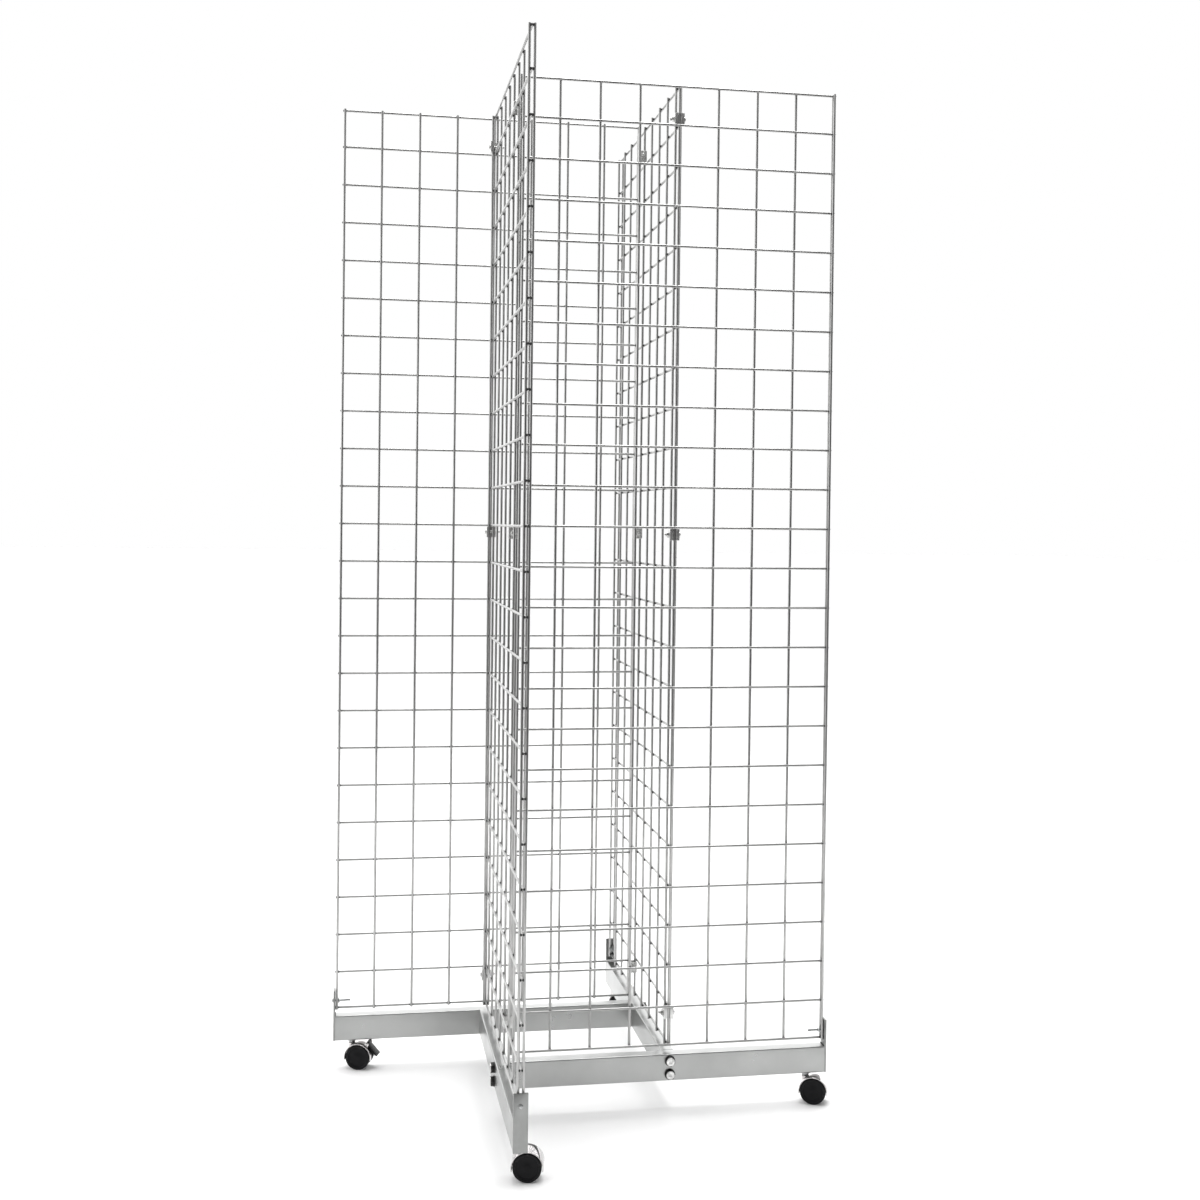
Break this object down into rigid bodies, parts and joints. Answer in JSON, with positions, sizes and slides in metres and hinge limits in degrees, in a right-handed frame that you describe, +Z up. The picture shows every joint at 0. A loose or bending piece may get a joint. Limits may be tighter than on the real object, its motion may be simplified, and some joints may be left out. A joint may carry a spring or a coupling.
{
  "type": "wire grid display tower",
  "caption": "Tall free-standing display of wire grid panels set in a pinwheel on base bars with twin-wheel swivel casters.",
  "frame": {"origin": "on the floor, on the vertical axis that the four panels are arranged about", "axes": "+Z up; the front panel faces -Y and runs towards +X from the centre; the left, back and right panels are it turned by quarter turns about Z"},
  "size_m": [0.9542, 0.946, 1.9484],
  "materials": {
    "plated_wire": "dull bright plating, slightly uneven",
    "plated_bar": "bright plating",
    "plated_plate": "bright plating, slightly clouded",
    "plated_clip": "bright plating",
    "plated_screws": "zinc plated",
    "dark_washer": "dark oxide, satin",
    "bare_steel": "machined",
    "plated_caster": "bright plating on a casting",
    "black_tread": "matte, scuffed",
    "black_cap": "matte",
    "black_lever": "satin"
  },
  "bodies": {
    "frame": {"grid_panel_front": "plated_wire", "base_bar_front": "plated_bar", "end_plate_front": "plated_plate", "grid_panel_left": "plated_wire", "base_bar_left": "plated_bar", "end_plate_left": "plated_plate", "grid_panel_back": "plated_wire", "base_bar_back": "plated_bar", "end_plate_back": "plated_plate", "grid_panel_right": "plated_wire", "base_bar_right": "plated_bar", "end_plate_right": "plated_plate", "clamp_screws": "plated_screws", "clamp_washers": "plated_screws", "clamp_nuts": "plated_screws", "bar_bolts": "plated_screws", "bar_bolt_washers": "dark_washer", "bar_end_plugs": "bare_steel", "clip_outer_jaws": "plated_clip", "clip_inner_jaws": "plated_clip", "clip_screws": "plated_screws", "clip_nuts": "plated_screws", "stem_flanges": "plated_screws", "stem_weld_nuts": "plated_screws", "caster_stem_front": "bare_steel", "caster_stem_left": "bare_steel", "caster_stem_back": "bare_steel", "caster_stem_right": "bare_steel"},
    "caster_front": {"caster_body_front": "plated_caster", "caster_axle_front": "bare_steel"},
    "wheel_near_front": {"caster_wheel_near_front": "black_tread", "wheel_cap_near_front": "black_cap"},
    "wheel_far_front": {"caster_wheel_far_front": "black_tread", "wheel_cap_far_front": "black_cap"},
    "caster_left": {"caster_body_left": "plated_caster", "caster_axle_left": "bare_steel"},
    "wheel_near_left": {"caster_wheel_near_left": "black_tread", "wheel_cap_near_left": "black_cap"},
    "wheel_far_left": {"caster_wheel_far_left": "black_tread", "wheel_cap_far_left": "black_cap"},
    "caster_back": {"caster_body_back": "plated_caster", "caster_axle_back": "bare_steel", "brake_pin_back": "bare_steel"},
    "wheel_near_back": {"caster_wheel_near_back": "black_tread", "wheel_cap_near_back": "black_cap"},
    "wheel_far_back": {"caster_wheel_far_back": "black_tread", "wheel_cap_far_back": "black_cap"},
    "brake_back": {"brake_lever_back": "black_lever"},
    "caster_right": {"caster_body_right": "plated_caster", "caster_axle_right": "bare_steel", "brake_pin_right": "bare_steel"},
    "wheel_near_right": {"caster_wheel_near_right": "black_tread", "wheel_cap_near_right": "black_cap"},
    "wheel_far_right": {"caster_wheel_far_right": "black_tread", "wheel_cap_far_right": "black_cap"},
    "brake_right": {"brake_lever_right": "black_lever"}
  },
  "joints": [
    {"name": "caster_swivel_front", "type": "hinge", "parent": "frame", "child": "caster_front", "pos_m": [0.4322, -0.16015, 0.04], "axis": [0, 0, 1], "continuous": true},
    {"name": "wheel_near_roll_front", "type": "hinge", "parent": "caster_front", "child": "wheel_near_front", "pos_m": [0.44773, -0.16706, 0.025], "axis": [0.4067, 0.9135, 0], "continuous": true},
    {"name": "wheel_far_roll_front", "type": "hinge", "parent": "caster_front", "child": "wheel_far_front", "pos_m": [0.44773, -0.16706, 0.025], "axis": [0.4067, 0.9135, 0], "continuous": true},
    {"name": "caster_swivel_left", "type": "hinge", "parent": "frame", "child": "caster_left", "pos_m": [-0.16015, -0.4322, 0.04], "axis": [0, 0, 1], "continuous": true},
    {"name": "wheel_near_roll_left", "type": "hinge", "parent": "caster_left", "child": "wheel_near_left", "pos_m": [-0.14341, -0.43515, 0.025], "axis": [0.1736, 0.9848, 0], "continuous": true},
    {"name": "wheel_far_roll_left", "type": "hinge", "parent": "caster_left", "child": "wheel_far_left", "pos_m": [-0.14341, -0.43515, 0.025], "axis": [0.1736, 0.9848, 0], "continuous": true},
    {"name": "caster_swivel_back", "type": "hinge", "parent": "frame", "child": "caster_back", "pos_m": [-0.4322, 0.16015, 0.04], "axis": [0, 0, 1], "continuous": true},
    {"name": "wheel_near_roll_back", "type": "hinge", "parent": "caster_back", "child": "wheel_near_back", "pos_m": [-0.41603, 0.1549, 0.025], "axis": [0.309, 0.9511, 0], "continuous": true},
    {"name": "wheel_far_roll_back", "type": "hinge", "parent": "caster_back", "child": "wheel_far_back", "pos_m": [-0.41603, 0.1549, 0.025], "axis": [0.309, 0.9511, 0], "continuous": true},
    {"name": "brake_press_back", "type": "hinge", "parent": "caster_back", "child": "brake_back", "pos_m": [-0.39912, 0.1494, 0.05039], "axis": [0.309, 0.9511, 0], "range_deg": [0, 7.5]},
    {"name": "caster_swivel_right", "type": "hinge", "parent": "frame", "child": "caster_right", "pos_m": [0.16015, 0.4322, 0.04], "axis": [0, 0, 1], "continuous": true},
    {"name": "wheel_near_roll_right", "type": "hinge", "parent": "caster_right", "child": "wheel_near_right", "pos_m": [0.17664, 0.42809, 0.025], "axis": [0.2419, 0.9703, 0], "continuous": true},
    {"name": "wheel_far_roll_right", "type": "hinge", "parent": "caster_right", "child": "wheel_far_right", "pos_m": [0.17664, 0.42809, 0.025], "axis": [0.2419, 0.9703, 0], "continuous": true},
    {"name": "brake_press_right", "type": "hinge", "parent": "caster_right", "child": "brake_right", "pos_m": [0.1939, 0.42379, 0.05039], "axis": [0.2419, 0.9703, 0], "range_deg": [0, 7.5]}
  ]
}
